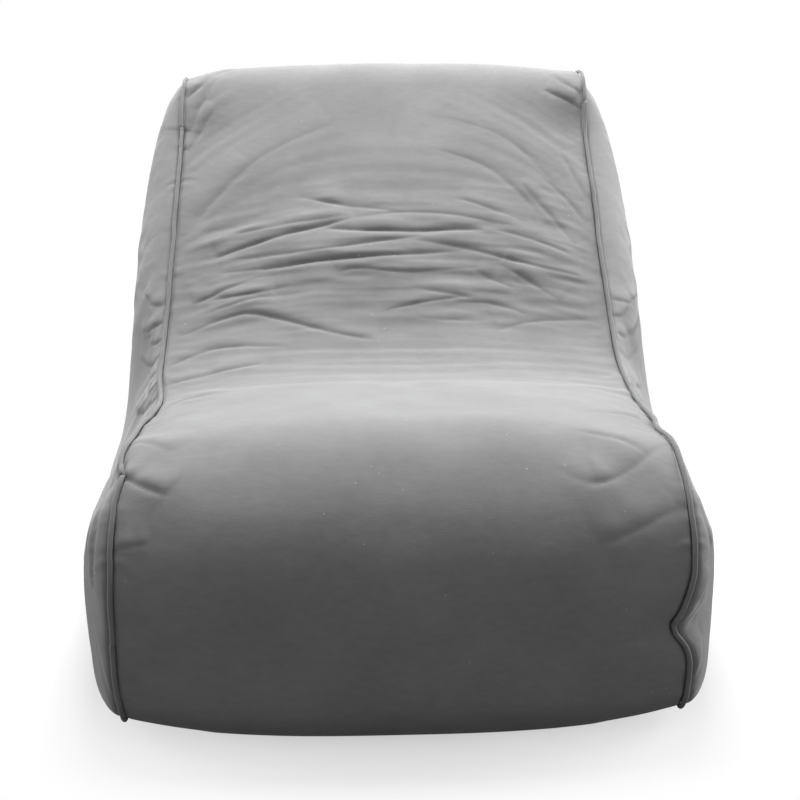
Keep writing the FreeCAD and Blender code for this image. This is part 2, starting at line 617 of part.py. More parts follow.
fill_sheet()
make_cover()
make_piping()
make_inner_bags()
make_zip("cover", with_pull=True)
make_zip("back", with_pull=False)
make_zip("seat", with_pull=False)
make_label()
check_and_write()
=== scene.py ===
import json
import math

import bpy
import bmesh
import numpy as np
from mathutils import Matrix, Vector
from mathutils.geometry import delaunay_2d_cdt


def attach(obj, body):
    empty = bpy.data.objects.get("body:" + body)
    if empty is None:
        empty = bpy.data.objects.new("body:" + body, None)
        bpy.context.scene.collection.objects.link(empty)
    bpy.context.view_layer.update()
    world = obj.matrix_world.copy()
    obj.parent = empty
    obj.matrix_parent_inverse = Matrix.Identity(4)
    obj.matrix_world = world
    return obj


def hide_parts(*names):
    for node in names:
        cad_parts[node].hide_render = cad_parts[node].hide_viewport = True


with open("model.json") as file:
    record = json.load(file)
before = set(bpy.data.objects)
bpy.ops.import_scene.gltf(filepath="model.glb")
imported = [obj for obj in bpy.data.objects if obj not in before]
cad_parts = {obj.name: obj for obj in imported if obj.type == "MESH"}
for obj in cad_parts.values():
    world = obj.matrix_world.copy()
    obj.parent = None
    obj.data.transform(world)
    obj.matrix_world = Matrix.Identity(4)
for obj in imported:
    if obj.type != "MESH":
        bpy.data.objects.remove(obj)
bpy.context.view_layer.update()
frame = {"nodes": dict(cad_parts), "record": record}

# ---- sizes, in metres, in the row frame
# The cover's side outline, clockwise from the front foot over the seat: (y, z, corner radius).
OUTLINE = (
    (-0.501, -0.008, 0.060),  # front foot
    (-0.490, 0.330, 0.165),  # front brow
    (-0.040, 0.297, 0.230),  # hollow between seat and back
    (0.366, 0.692, 0.086),  # top of the back
    (0.480, 0.640, 0.086),  # behind the top
    (0.505, 0.300, 0.400),  # rear hip
    (0.505, -0.008, 0.060),  # rear foot
)
CORE = np.array((0.09, 0.12))  # the point that the side domes shrink towards
SEAM_X = 0.31  # from the centre plane to each side seam
CROWN = 0.026  # how far the outline is drawn in at the side seams
BULGE = 0.080  # how far each side panel domes out
DOME_FLAT, DOME_ROUND = 2.4, 0.55  # the dome is (1 - share ** DOME_FLAT) ** DOME_ROUND of BULGE high
TIGHT = 0.75  # how much the tight seam from brow to waist flattens the dome beside it
TIGHT_FROM, TIGHT_TO = (0.29, 0.43), (0.70, 0.88)  # the runs of the seam where it comes in and fades out
TIGHT_REACH = 0.138  # how far from the seam, which is less than half the side panel's height there
REAR_FLAT = 0.495
BASE_SEAM_ANGLE = 40  # degrees round the feet from straight down
# A line that crosses the outline at the seam behind the top.
TOP_SEAM_AT, TOP_SEAM_SLOPE = (0.394, 0.554), 0.855
SLOT_X = 0.2098  # half the length of the slot over the cover zip
SLOT_Z = (0.088, 0.102)
ZIP_Z = 0.095
CLOTH = 0.0015
PIPING = 0.0029
PIPING_OUT = 0.0034  # from the side seam out to the piping's centre

GRID = 0.0125  # spacing of the simulated cloth
FOLD_GRID = 0.0078  # the same up the lower back, where the folds are
SEAM_COLUMNS = (0.0045, 0.0095)  # extra columns of points beside each side seam
DIP, BEHIND_TOP = 2, 4  # outline corners: between seat and back, and behind the top
FRAMES = 24
SEED = 7

MAIN, BASE, REAR, LEFT, RIGHT = range(5)


# ---- the smooth plump form


def drawn_in(points, inset):
    """The outline parallel to points, inset inside it."""
    done = []
    for i, (y, z, radius) in enumerate(points):
        here = np.array((y, z))
        before, after = np.array(points[i - 1][:2]), np.array(points[(i + 1) % len(points)][:2])
        come = (here - before) / np.linalg.norm(here - before)
        leave = (after - here) / np.linalg.norm(after - here)
        come_in, leave_in = np.array((come[1], -come[0])), np.array((leave[1], -leave[0]))
        shift = (come_in + leave_in) * inset / (1 + come_in @ leave_in)
        convex = come[0] * leave[1] - come[1] * leave[0] < 0
        done.append((*(here + shift), radius + (-inset if convex else inset)))
    return done


def arcs(points):
    """(start, end, centre, radius, start angle, turn) of each corner's arc."""
    found = []
    for i, (y, z, radius) in enumerate(points):
        here = np.array((y, z))
        back = np.array(points[i - 1][:2]) - here
        on = np.array(points[(i + 1) % len(points)][:2]) - here
        back, on = back / np.linalg.norm(back), on / np.linalg.norm(on)
        half = math.acos(back @ on) / 2
        middle = back + on
        centre = here + middle / np.linalg.norm(middle) * radius / math.sin(half)
        start, end = here + back * radius / math.tan(half), here + on * radius / math.tan(half)
        a, b = (math.atan2(p[1] - centre[1], p[0] - centre[0]) for p in (start, end))
        turn = (b - a + math.pi) % (2 * math.pi) - math.pi
        found.append((start, end, centre, radius, a, turn))
    return found


def steps():
    """How many grid steps each arc and each straight run takes, the same for every section."""
    runs = arcs(OUTLINE)
    counts = []
    for i, (_, end, _, radius, _, turn) in enumerate(runs):
        straight = np.linalg.norm(runs[(i + 1) % len(runs)][0] - end)
        spacing = FOLD_GRID if i == DIP else GRID
        counts.append((max(4, round(abs(turn) * radius / spacing)), max(1, round(straight / spacing))))
    counts[-1] = (counts[-1][0], counts[-1][1] // 2 * 2)
    return counts


STEPS = steps()
HALF_BASE = STEPS[-1][1] // 2


def ring(inset):
    """The outline's points, inset, as (y, z), from the middle of the base towards the front."""
    made = []
    runs = arcs(drawn_in(OUTLINE, inset))
    for i, (_, end, centre, radius, a, turn) in enumerate(runs):
        on_arc, on_line = STEPS[i]
        for k in range(on_arc):
            angle = a + turn * k / on_arc
            made.append(centre + radius * np.array((math.cos(angle), math.sin(angle))))
        following = runs[(i + 1) % len(runs)][0]
        made += [end + (following - end) * k / on_line for k in range(on_line)]
    return np.roll(np.array(made), HALF_BASE, axis=0)


CENTRE_RING = ring(0)
AROUND = len(CENTRE_RING)
STRIDES = np.linalg.norm(np.roll(CENTRE_RING, -1, axis=0) - CENTRE_RING, axis=1)
ALONG = np.concatenate(([0], np.cumsum(STRIDES)[:-1])) - STRIDES[:HALF_BASE].sum()
COLUMNS = sorted([*np.linspace(-SEAM_X, SEAM_X, round(2 * SEAM_X / GRID) + 1),
                  *(side * (SEAM_X - inset) for side in (-1, 1) for inset in SEAM_COLUMNS)])
ACROSS = len(COLUMNS) - 1


def flattened(points):
    """Points pressed flat where the floor and the rear flat stop them."""
    points[:, 2] = np.maximum(points[:, 2], 0)
    points[:, 1] = np.minimum(points[:, 1], REAR_FLAT)
    return points


SIDE_RINGS = (0.0013, 0.0065, 0.016)  # how far in from the seam a side panel's outer rings of points lie


def side_fill():
    """Points and faces that fill one side panel's outline: the (y, z) of the points inside it, and faces
    that index the outline's points first and the inner ones after. The outer points lie in rings."""
    rings = [ring(CROWN + inset) for inset in SIDE_RINGS]
    faces = []
    for k in range(len(rings)):
        for i in range(AROUND):
            j = (i + 1) % AROUND
            here, further = k * AROUND, (k + 1) * AROUND
            faces.append([here + i, here + j, further + j, further + i])
    inner, triangles = triangle_fill(rings[-1])
    shift = len(rings) * AROUND
    faces += [[v + shift for v in face] for face in triangles]
    return np.vstack((*rings, inner)), faces


def triangle_fill(seam):
    """Points spread evenly inside an outline, and triangles that join them to it."""
    low, high = seam.min(0), seam.max(0)
    inner = []
    rows = np.arange(low[1] + GRID * 0.6, high[1], GRID * 0.9)
    for k, z in enumerate(rows):
        for y in np.arange(low[0] + (k % 2) * GRID / 2, high[0], GRID):
            inner.append((y, z))
    inner = np.array(inner)
    share, near = side_share(seam, inner)
    inner = inner[(share < 0.999) & (near > GRID * 0.7)]
    points = [Vector(p) for p in np.vstack((seam, inner))]
    _, _, faces, *_ = delaunay_2d_cdt(points, [], [list(range(len(seam)))], 1, 1e-7)
    return inner, [list(f) for f in faces]


def side_share(seam, points):
    """How far out from the core each point lies, as a share of the way to the outline, and its distance
    from the outline."""
    angles = np.arctan2(seam[:, 1] - CORE[1], seam[:, 0] - CORE[0])
    reach = np.linalg.norm(seam - CORE, axis=1)
    order = np.argsort(angles)
    angle = np.arctan2(points[:, 1] - CORE[1], points[:, 0] - CORE[0])
    out = np.interp(angle, angles[order], reach[order], period=2 * math.pi)
    share = np.linalg.norm(points - CORE, axis=1) / out
    near = np.min(np.linalg.norm(points[:, None] - seam[None], axis=2), axis=1)
    return share, near


def plump_form():
    """The closed skin: points, faces, each face's panel, and for each point its place on the cloth and its
    place along the weave. A place on the cloth is (across, along, distance from the side seam), and the
    distance is negative on a side panel."""
    points, place, grain = [], [], []
    for x in COLUMNS:
        section = ring(CROWN * abs(x / SEAM_X) ** 3)
        points.append(np.column_stack((np.full(AROUND, x), section)))
        place.append(np.column_stack((np.full(AROUND, x), ALONG, np.full(AROUND, SEAM_X - abs(x)))))
        grain.append(place[-1] * (1, 1, 0))
    faces, panels = [], []
    strips = strip_panels()
    for j in range(ACROSS):
        for i in range(AROUND):
            after = (i + 1) % AROUND
            here, beside = j * AROUND, (j + 1) * AROUND
            faces.append((here + i, here + after, beside + after, beside + i))
            panels.append(strips[i])
    seam = ring(CROWN)
    inner, triangles = side_fill()
    share, near = side_share(seam, inner)
    nearest = np.argmin(np.linalg.norm(inner[:, None] - seam[None], axis=2), axis=1)
    tight = ramp(ALONG[nearest], *TIGHT_FROM) * (1 - ramp(ALONG[nearest], *TIGHT_TO))
    out = BULGE * (1 - np.minimum(share, 1) ** DOME_FLAT) ** DOME_ROUND
    out *= 1 - TIGHT * tight * bump(near, 0, TIGHT_REACH)
    away = np.hypot(near, out)
    for side, panel, column in ((-1, LEFT, 0), (1, RIGHT, ACROSS)):
        first = sum(len(p) for p in points)
        points.append(np.column_stack((side * (SEAM_X + out), inner)))
        place.append(np.column_stack((side * (SEAM_X + away), ALONG[nearest], -away)))
        grain.append(np.column_stack((inner, np.zeros(len(inner)))))
        for face in triangles:
            corners = [column * AROUND + v if v < AROUND else first + v - AROUND for v in face]
            faces.append(tuple(corners if side < 0 else corners[::-1]))
            panels.append(panel)
    return flattened(np.vstack(points)), faces, panels, np.vstack(place), np.vstack(grain)


def strip_panels():
    """The panel of each row of the strip, by where its seams cross the outline."""
    front, rear = arcs(OUTLINE)[0][2], arcs(OUTLINE)[-1][2]  # the centres that the feet curve about
    base_to = -math.pi / 2 + math.radians(BASE_SEAM_ANGLE)
    top_y = OUTLINE[BEHIND_TOP][0] - OUTLINE[BEHIND_TOP][2]
    panels = []
    for y, z in (CENTRE_RING + np.roll(CENTRE_RING, -1, axis=0)) / 2:
        panel = MAIN
        if y < front[0] and z < front[1] and math.atan2(z - front[1], front[0] - y) < base_to:
            panel = BASE
        elif front[0] <= y <= rear[0] and z < rear[1]:
            panel = BASE
        elif y > rear[0] and z < rear[1] and math.atan2(z - rear[1], y - rear[0]) < base_to:
            panel = BASE
        elif y > top_y and z - TOP_SEAM_AT[1] < (y - TOP_SEAM_AT[0]) * TOP_SEAM_SLOPE:
            panel = REAR
        panels.append(panel)
    return panels


# ---- noise


def value_noise(u, v, salt):
    """Smooth noise from -1 to 1, one value for each (u, v), with a feature size of about 1."""
    table = np.random.default_rng(SEED + salt).uniform(-1, 1, (256, 256))
    iu, iv = np.floor(u).astype(int), np.floor(v).astype(int)
    fu, fv = u - iu, v - iv
    fu, fv = fu**3 * (fu * (6 * fu - 15) + 10), fv**3 * (fv * (6 * fv - 15) + 10)
    corner = [[table[(iu + a) % 256, (iv + b) % 256] for b in (0, 1)] for a in (0, 1)]
    low = corner[0][0] * (1 - fu) + corner[1][0] * fu
    high = corner[0][1] * (1 - fu) + corner[1][1] * fu
    return low * (1 - fv) + high * fv


def bump(value, centre, reach):
    """1 at the centre, falling smoothly to 0 at reach either side."""
    return np.cos(np.clip((value - centre) / reach, -1, 1) * math.pi / 2) ** 2


def ramp(value, low, high):
    """0 below low, 1 above high, smooth between."""
    t = np.clip((value - low) / (high - low), 0, 1)
    return t * t * (3 - 2 * t)


# ---- filling the cover

GOAL = 0.25  # how firmly the beads hold the cloth to the plump form
PRESSURE = 5.0
SEAM_SHRINK = 0.05
SPARE_CLOTH = 0.0035  # height of the ripples that give the lower back its spare cloth
SPARE_WAVE = 0.045
SPARE_AT = (0.91, 0.19)  # the middle and half length of the run of cloth that has it
CALM = (0.54, 0.24)  # the same of the run of cloth that no fine buckles are left in
CALM_ROUNDS = 10
ZIP_HOLD = 0.06  # how far round the zip the cloth is held
FLAT_SLACK = 0.004
FLOOR_HOLD = (-0.006, -0.001)
ASIDE = 0.005  # how far the cloth may end up sideways
PUFF = (-0.001, 0.013)  # how far the cloth may end up inside and outside the plump form


def in_scene(name, data):
    """An object made of data and put in the scene."""
    made = bpy.data.objects.new(name, data)
    bpy.context.scene.collection.objects.link(made)
    return made


def new_mesh_object(name, points, faces):
    mesh = bpy.data.meshes.new(name)
    mesh.from_pydata([tuple(p) for p in points], [], faces)
    mesh.update()
    return in_scene(name, mesh)


def mesh_from(form, name):
    """A mesh made from form, which is then freed."""
    mesh = bpy.data.meshes.new(name)
    form.to_mesh(mesh)
    form.free()
    return mesh


def form_of(obj):
    """The object's mesh, open for editing."""
    form = bmesh.new()
    form.from_mesh(obj.data)
    return form


def put_back(form, obj):
    """The edited form as the object's mesh."""
    form.to_mesh(obj.data)
    form.free()


def face_outward(obj):
    """Turns every face of a closed object outward."""
    form = form_of(obj)
    bmesh.ops.recalc_face_normals(form, faces=form.faces)
    put_back(form, obj)


def all_of(form):
    return form.verts[:] + form.edges[:] + form.faces[:]


def cut_along(form, planes):
    """Parts the form's faces along planes, each given as its normal and a point on it."""
    for normal, point in planes:
        bmesh.ops.bisect_plane(form, geom=all_of(form), dist=1e-6, plane_co=point, plane_no=normal)


def vectors(items, key):
    """The vector that each item keeps under key, as rows."""
    flat = np.empty(len(items) * 3)
    items.foreach_get(key, flat)
    return flat.reshape(-1, 3)


def coordinates(mesh):
    return vectors(mesh.vertices, "co")


def normals(mesh):
    return vectors(mesh.vertex_normals, "vector")


def group(obj, name, weights):
    made = obj.vertex_groups.new(name=name)
    for i, w in enumerate(weights):
        if w > 0:
            made.add([i], float(w), "REPLACE")


def smoothed(values, rounds):
    """A closed run of values, each drawn to its neighbours' middle a number of times."""
    for _ in range(rounds):
        values = (np.roll(values, 1, axis=0) + 2 * values + np.roll(values, -1, axis=0)) / 4
    return values


def smoothed_strip(values, rounds, weight):
    """A vector for each point of the skin, smoothed along the strip by the weight of each row."""
    there = weight[None, :, None]
    strip = values[: len(COLUMNS) * AROUND].reshape(-1, AROUND, 3)
    smooth = smoothed(strip.transpose(1, 0, 2), rounds).transpose(1, 0, 2)
    values[: len(COLUMNS) * AROUND] = (strip * (1 - there) + smooth * there).reshape(-1, 3)
    return values


def fill_with_beads(skin, place):
    """Cloth simulation: pressure fills the sewn skin, the floor stops it, and its seams draw in."""
    _, along, gap = place.T
    start, out = coordinates(skin.data), normals(skin.data)
    near_zip = bump(start[:, 2], ZIP_Z, ZIP_HOLD) * (start[:, 1] > REAR_FLAT - FLAT_SLACK)
    on_floor = ramp(-start[:, 2], *FLOOR_HOLD)
    hold = np.clip(GOAL + near_zip + on_floor, 0, 1)
    group(skin, "hold", hold)
    group(skin, "seam", np.clip(1 - np.abs(gap) / (GRID * 1.2), 0, 1))
    skin.shape_key_add(name="Basis")
    cut = skin.shape_key_add(name="cut")
    lower_back = bump(along, *SPARE_AT) * ramp(gap, 0, 0.05)
    ripple = np.sin(along / SPARE_WAVE * 2 * math.pi) * SPARE_CLOTH * lower_back
    cut.data.foreach_set("co", (start + out * ripple[:, None]).ravel())
    modifier = skin.modifiers.new("fill", "CLOTH")
    cloth = modifier.settings
    cloth.quality = 5
    cloth.mass = 0.2
    cloth.tension_stiffness = cloth.compression_stiffness = 18
    cloth.shear_stiffness = 6
    cloth.bending_stiffness = 0.35
    cloth.use_pressure = True
    cloth.uniform_pressure_force = PRESSURE
    cloth.vertex_group_mass = "hold"
    cloth.pin_stiffness = 1
    cloth.vertex_group_shrink = "seam"
    cloth.shrink_min, cloth.shrink_max = 0, SEAM_SHRINK
    cloth.rest_shape_key = cut
    cloth.effector_weights.gravity = 0
    modifier.point_cache.frame_start, modifier.point_cache.frame_end = 1, FRAMES
    for number in range(1, FRAMES + 1):
        bpy.context.scene.frame_set(number)
    depsgraph = bpy.context.evaluated_depsgraph_get()
    filled = skin.evaluated_get(depsgraph)
    end = coordinates(filled.to_mesh())
    filled.to_mesh_clear()
    skin.modifiers.remove(modifier)
    skin.shape_key_clear()
    skin.vertex_groups.clear()
    bpy.context.scene.frame_set(1)
    moved = smoothed_strip(end - start, CALM_ROUNDS, bump(ALONG, *CALM))
    outward = np.clip((moved * out).sum(1), *PUFF)
    aside = moved - out * (moved * out).sum(1)[:, None]
    aside *= np.minimum(1, ASIDE / np.maximum(np.linalg.norm(aside, axis=1), 1e-9))[:, None]
    return start + out * outward[:, None] + aside


# ---- folds

# The share of a fold's height and width that the small lip below its crease has.
LIP_HEIGHT, LIP_WIDTH = 0.42, 0.6

# Folds, in millimetres: (height, width, (across, along) points of the crease). The cloth rolls over the
# crease from above, so each fold is steep just above it, and a narrow lip below it catches the light.
FOLDS = (
    # the main creases across the lower back
    (6.0, 11, ((-245, 922), (-195, 937), (-140, 953), (-50, 977))),
    (7.0, 13, ((-90, 961), (-30, 955), (60, 955), (140, 956))),
    (3.0, 12, ((-45, 978), (34, 988), (120, 976), (192, 961))),
    (4.5, 14, ((-130, 1020), (-70, 1003), (20, 988))),
    (3.0, 10, ((-217, 958), (-150, 968), (-60, 982))),
    (5.8, 11, ((-240, 892), (-160, 896), (-80, 908), (110, 920))),
    (5.2, 11, ((35, 940), (119, 922), (190, 900), (276, 886))),
    (4.2, 12, ((-230, 914), (-137, 918), (-11, 937), (50, 946))),
    (3.0, 9, ((-71, 885), (-45, 893), (30, 886), (140, 893))),
    # the smaller ones below them, from the left seam inwards
    (3.6, 9, ((-275, 845), (-240, 859), (-175, 883))),
    (3.6, 9, ((-246, 848), (-204, 851), (-136, 866))),
    (3.4, 10, ((-255, 827), (-190, 844), (-160, 848))),
    (5.0, 12, ((-292, 793), (-225, 817), (-180, 819), (-80, 784), (-20, 770))),
    (4.0, 11, ((-300, 737), (-240, 764), (-135, 758))),
    (4.0, 10, ((-305, 700), (-235, 710), (-170, 724))),
    (3.0, 11, ((-306, 590), (-275, 630), (-210, 630))),
    # and from the middle to the right
    (2.8, 9, ((121, 888), (148, 871), (175, 859))),
    (3.4, 10, ((155, 897), (195, 873), (240, 840))),
    (2.4, 10, ((30, 861), (74, 850), (120, 841))),
    (2.8, 10, ((-10, 823), (50, 836), (115, 844))),
    (2.0, 10, ((35, 811), (80, 805), (135, 805))),
    (3.0, 14, ((146, 788), (200, 805), (284, 815))),
    (2.8, 10, ((90, 833), (137, 834), (190, 816))),
    # long slanting folds up the back, towards the seams
    (3.0, 10, ((194, 1047), (225, 1006), (271, 942))),
    (2.8, 10, ((235, 1055), (265, 1023), (291, 985))),
    (2.2, 10, ((265, 1115), (284, 1062), (300, 1028))),
    (2.8, 10, ((100, 1012), (150, 994), (204, 970))),
    (3.0, 10, ((150, 958), (215, 939), (265, 921))),
    (2.2, 18, ((-270, 995), (-225, 1060), (-165, 1111), (-80, 1155))),
    (2.2, 18, ((-290, 965), (-252, 1027), (-195, 1080))),
    (2.2, 18, ((60, 1108), (140, 1078), (196, 1024), (232, 970))),
    (2.2, 18, ((95, 1165), (181, 1127), (250, 1050))),
    # tucks at the top corners
    (4.0, 9, ((-297, 1130), (-280, 1158), (-255, 1205))),
    (5.5, 12, ((-297, 1165), (-275, 1214), (-250, 1269))),
    (6.0, 12, ((-300, 1228), (-276, 1245), (-246, 1284), (-205, 1325))),
    (4.5, 9, ((245, 1225), (275, 1210), (303, 1196))),
    (3.5, 9, ((255, 1262), (276, 1236), (300, 1219))),
    # dents at the front corners of the seat
    (9.5, 11, ((-318, 384), (-288, 361), (-252, 341))),
    (3.5, 11, ((-310, 454), (-290, 449), (-255, 412))),
    (2.0, 8, ((-309, 279), (-285, 281), (-265, 285))),
    (3.5, 14, ((165, 362), (205, 344), (250, 368), (308, 430))),
    (2.8, 11, ((195, 430), (240, 418), (268, 392))),
    (2.5, 16, ((205, 272), (249, 291), (295, 318))),
    (3.0, 12, ((225, 512), (285, 520), (310, 479))),
    # creases down the side panels beside the front
    (4.2, 9, ((-316, 372), (-328, 330), (-335, 270), (-340, 215))),
    (3.6, 10, ((-325, 368), (-350, 315), (-362, 262))),
    (3.0, 10, ((-316, 90), (-330, 130), (-345, 170))),
    (4.6, 9, ((316, 170), (333, 196), (350, 235))),
    (3.2, 9, ((317, 160), (338, 172), (362, 186))),
    (3.2, 10, ((315, 98), (330, 128), (341, 160))),
    (3.0, 10, ((317, 340), (333, 295), (345, 245))),
)


PUCKER_ROWS = (0.58, 0.86, 0.027)  # where along the seam the puckers start and end, and their spacing
PUCKER_GAP = 0.003


def waist_puckers():
    """Small folds that fan out over the side panels from the tight seams at the waist."""
    spread = np.random.default_rng(SEED)
    made = []
    for side in (-1, 1):
        for start in np.arange(*PUCKER_ROWS):
            long, slant = spread.uniform(0.04, 0.10), spread.uniform(0.2, 0.9)
            height, width = spread.uniform(0.0020, 0.0040), spread.uniform(0.006, 0.009)
            crease = tuple((side * (SEAM_X + PUCKER_GAP + long * f), start + slant * long * f * f)
                           for f in (0, 0.5, 1))
            made.append((height, width, crease))
    return made


GROOVE, GROOVE_REACH = 0.0045, 0.0042  # the seam's groove beside the piping
RIPPLE_AT = (0.90, 0.20)  # the middle and half length of the lower back's soft ripples
RIPPLE_BOW = 0.35
RIPPLES = ((0.0011, 0.11, 0.016), (0.0008, 0.05, 0.009))  # height, feature size across and along
LUMPS = ((0.0022, 0.16), (0.0008, 0.05))  # height and feature size of the unevenness over the beads
LIFT_FROM = 0.03  # the cloth is sculpted in full from this far above the floor


def curve_through(points, count=28):
    """A smooth curve through the points."""
    points = np.array([points[0], *points, points[-1]])
    made = []
    spans = len(points) - 3
    for t in np.linspace(0, spans, count, endpoint=False):
        k = int(t)
        f = t - k
        a, b, c, d = points[k : k + 4]
        square, cube = 2 * a - 5 * b + 4 * c - d, 3 * b - a - 3 * c + d
        made.append(0.5 * (2 * b + (c - a) * f + square * f * f + cube * f**3))
    return np.array([*made, points[-2]])


def fold_height(across, along, height, width, crease, salt):
    """How far one fold lifts the cloth at each point."""
    path = curve_through(crease)
    here = np.column_stack((across, along))
    low, high = path.min(0) - 6 * width, path.max(0) + 6 * width
    near = np.all((here > low) & (here < high), axis=1)
    lift = np.zeros(len(here))
    if not near.any():
        return lift
    here = here[near]
    best = np.full(len(here), 1e9)
    side, share = np.zeros(len(here)), np.zeros(len(here))
    for k, (a, b) in enumerate(zip(path, path[1:])):
        run = b - a
        t = np.clip(((here - a) @ run) / (run @ run), 0, 1)
        off = here - (a + t[:, None] * run)
        gap = np.linalg.norm(off, axis=1)
        closer = gap < best
        best = np.where(closer, gap, best)
        turn = run[0] * off[:, 1] - run[1] * off[:, 0]
        upper = np.sign(turn) * np.sign(run[0] if abs(run[0]) > 1e-6 else 1)
        side = np.where(closer, upper, side)
        share = np.where(closer, (k + t) / (len(path) - 1), share)
    fade = np.sin(math.pi * np.clip(share, 0, 1)) ** 0.7
    uneven = 0.8 + 0.35 * value_noise(share * 5, np.full(len(share), salt * 3.7), 3)
    above, below = best / width, best / (width * LIP_WIDTH)
    shape = np.where(side >= 0, above * np.exp(1 - above), LIP_HEIGHT * below * np.exp(1 - below))
    lift[near] = height * fade * uneven * shape
    return lift


def sculpt(place, grain):
    """How far each point of the cloth is lifted off the filled form, in metres."""
    across, along, gap = place.T
    strip = gap >= -1e-6
    lift = np.zeros(len(gap))
    folds = [(height / 1000, width / 1000, np.array(crease) / 1000) for height, width, crease in FOLDS]
    for salt, (height, width, crease) in enumerate((*folds, *waist_puckers())):
        lift += fold_height(across, along, height, width, crease, salt)
    # soft ripples between the folds, long across the chair and short up it
    lower_back = bump(along, *RIPPLE_AT) * ramp(gap, 0.0, 0.05) * strip
    bowed = along + RIPPLE_BOW * across**2
    for salt, (height, wide, long) in enumerate(RIPPLES, 11):
        lift += lower_back * height * value_noise(across / wide, bowed / long, salt)
    # the whole cloth is a little uneven over the beads
    on_side = (1 - strip) * ramp(-gap, 0, 0.05)
    for u, v, kept in ((across, along, strip), (grain[:, 0], grain[:, 1], on_side)):
        for salt, (height, wide) in enumerate(LUMPS, 13):
            lift += kept * height * value_noise(u / wide, v / wide, salt)
    # puckers where the seams draw the cloth in, strongest at the waist
    away = np.abs(gap)
    waist = bump(along, 0.66, 0.20)
    strength = 0.0011 + 0.0024 * waist * np.where(strip, 0.35, 1)
    reach = 0.016 + 0.022 * waist
    wander = along / 0.013 + 1.5 * value_noise(along / 0.05, away / 0.05, 15)
    tick = value_noise(wander, away / 0.06 + np.where(across > 0, 40, 0), 16)
    lift += strength * np.exp(-away / reach) * tick * ramp(away, 0.0, 0.006)
    # the corners of the top stand up, the right one furthest
    top = bump(along, 1.245, 0.10) * strip
    lift += top * (0.012 * ramp(np.abs(across), 0.10, 0.29) + 0.010 * bump(across, 0.31, 0.07))
    # the seam's groove
    lift -= GROOVE * np.exp(-((away / GROOVE_REACH) ** 2))
    return lift


# ---- making the pieces


def subdivided(obj, levels):
    """The object's mesh after smooth subdivision, as a new mesh; the object is removed."""
    modifier = obj.modifiers.new("smooth", "SUBSURF")
    modifier.levels = modifier.render_levels = levels
    modifier.boundary_smooth = "PRESERVE_CORNERS"
    evaluated = obj.evaluated_get(bpy.context.evaluated_depsgraph_get())
    mesh = bpy.data.meshes.new_from_object(evaluated)
    bpy.data.objects.remove(obj)
    return mesh


def make_skin():
    """The finished skin: its points, faces, each face's panel, each point's place on the cloth, place
    along the weave and normal, and the filled form that the inner bags are made from."""
    points, faces, panels, place, grain = plump_form()
    skin = new_mesh_object("skin", points, faces)
    face_outward(skin)
    filled = fill_with_beads(skin, place)
    hip = bump(CENTRE_RING[:, 1], *HIP_EDGE) * (CENTRE_RING[:, 0] > HIP_FROM)
    filled = flattened_softly(smoothed_strip(pinched(filled, place), HIP_ROUNDS, hip))
    skin.data.vertices.foreach_set("co", filled.ravel())
    skin.data.update()
    inner = filled, normals(skin.data), faces
    for name, values in (("place", place), ("grain", grain)):
        on_points = skin.data.attributes.new(name, "FLOAT_VECTOR", "POINT")
        on_points.data.foreach_set("vector", values.ravel())
    on_faces = skin.data.attributes.new("panel", "INT", "FACE")
    on_faces.data.foreach_set("value", panels)
    mesh = subdivided(skin, 2)
    points, out = coordinates(mesh), normals(mesh)
    place, grain = (vectors(mesh.attributes[name].data, "vector") for name in ("place", "grain"))
    panels = np.empty(len(mesh.polygons), dtype=np.int32)
    mesh.attributes["panel"].data.foreach_get("value", panels)
    faces = np.array([tuple(p.vertices) for p in mesh.polygons])
    bpy.data.meshes.remove(mesh)
    place[:, 2] = np.where(np.abs(place[:, 2]) < 1e-5, 0, place[:, 2])
    lift = sculpt(place, grain)
    rear = ramp(points[:, 1], *(REAR_FLAT - gap for gap in PLAIN_GAPS))
    rear *= bump(points[:, 2], ZIP_Z, PLAIN_REACH)
    lift *= (1 - rear) * ramp(points[:, 2], 0.0, LIFT_FROM)
    points = points + out * lift[:, None]
    return flattened_softly(points), faces, panels, place, grain, out, inner


FLAT_FADE = (0.045, 0.11)  # how far above the zip the rear flat starts and ends to fade
HIP_EDGE = (0.27, 0.14)  # the height of the edge above the rear flat, and how far it is rounded off
HIP_FROM, HIP_ROUNDS = 0.4, 24
PLAIN_GAPS, PLAIN_REACH = (0.012, 0.003), 0.07  # no sculpting this near the flat and the zip
PINCH_REACH = 0.05

# Where a side seam is pinched in: (side, place along the seam, half its length, how far in).
PINCHES = (
    (1, 0.184, 0.064, 0.012),
    (1, 0.168, 0.027, 0.013),
    (1, 0.490, 0.050, 0.005),
    (-1, 0.375, 0.040, 0.006),
    (-1, 0.640, 0.110, 0.010),
)


def pinched(points, place):
    """The points with both side seams drawn in where they are pinched."""
    across, along, gap = place.T
    for side, middle, half, inward in PINCHES:
        near = bump(along, middle, half) * np.exp(-((gap / PINCH_REACH) ** 2)) * (across * side > 0)
        points[:, 0] -= side * inward * near
    return points


def flattened_softly(points):
    """Points kept above the floor and, about the zip, on the rear flat, which fades out above it."""
    points[:, 2] = np.maximum(points[:, 2], 0)
    behind = np.maximum(points[:, 1] - REAR_FLAT, 0)
    points[:, 1] -= behind * (1 - ramp(np.abs(points[:, 2] - ZIP_Z), *FLAT_FADE))
    return points


SEAM_SHADE_REACH = 0.0022  # how far from a side seam the painted shade along it reaches
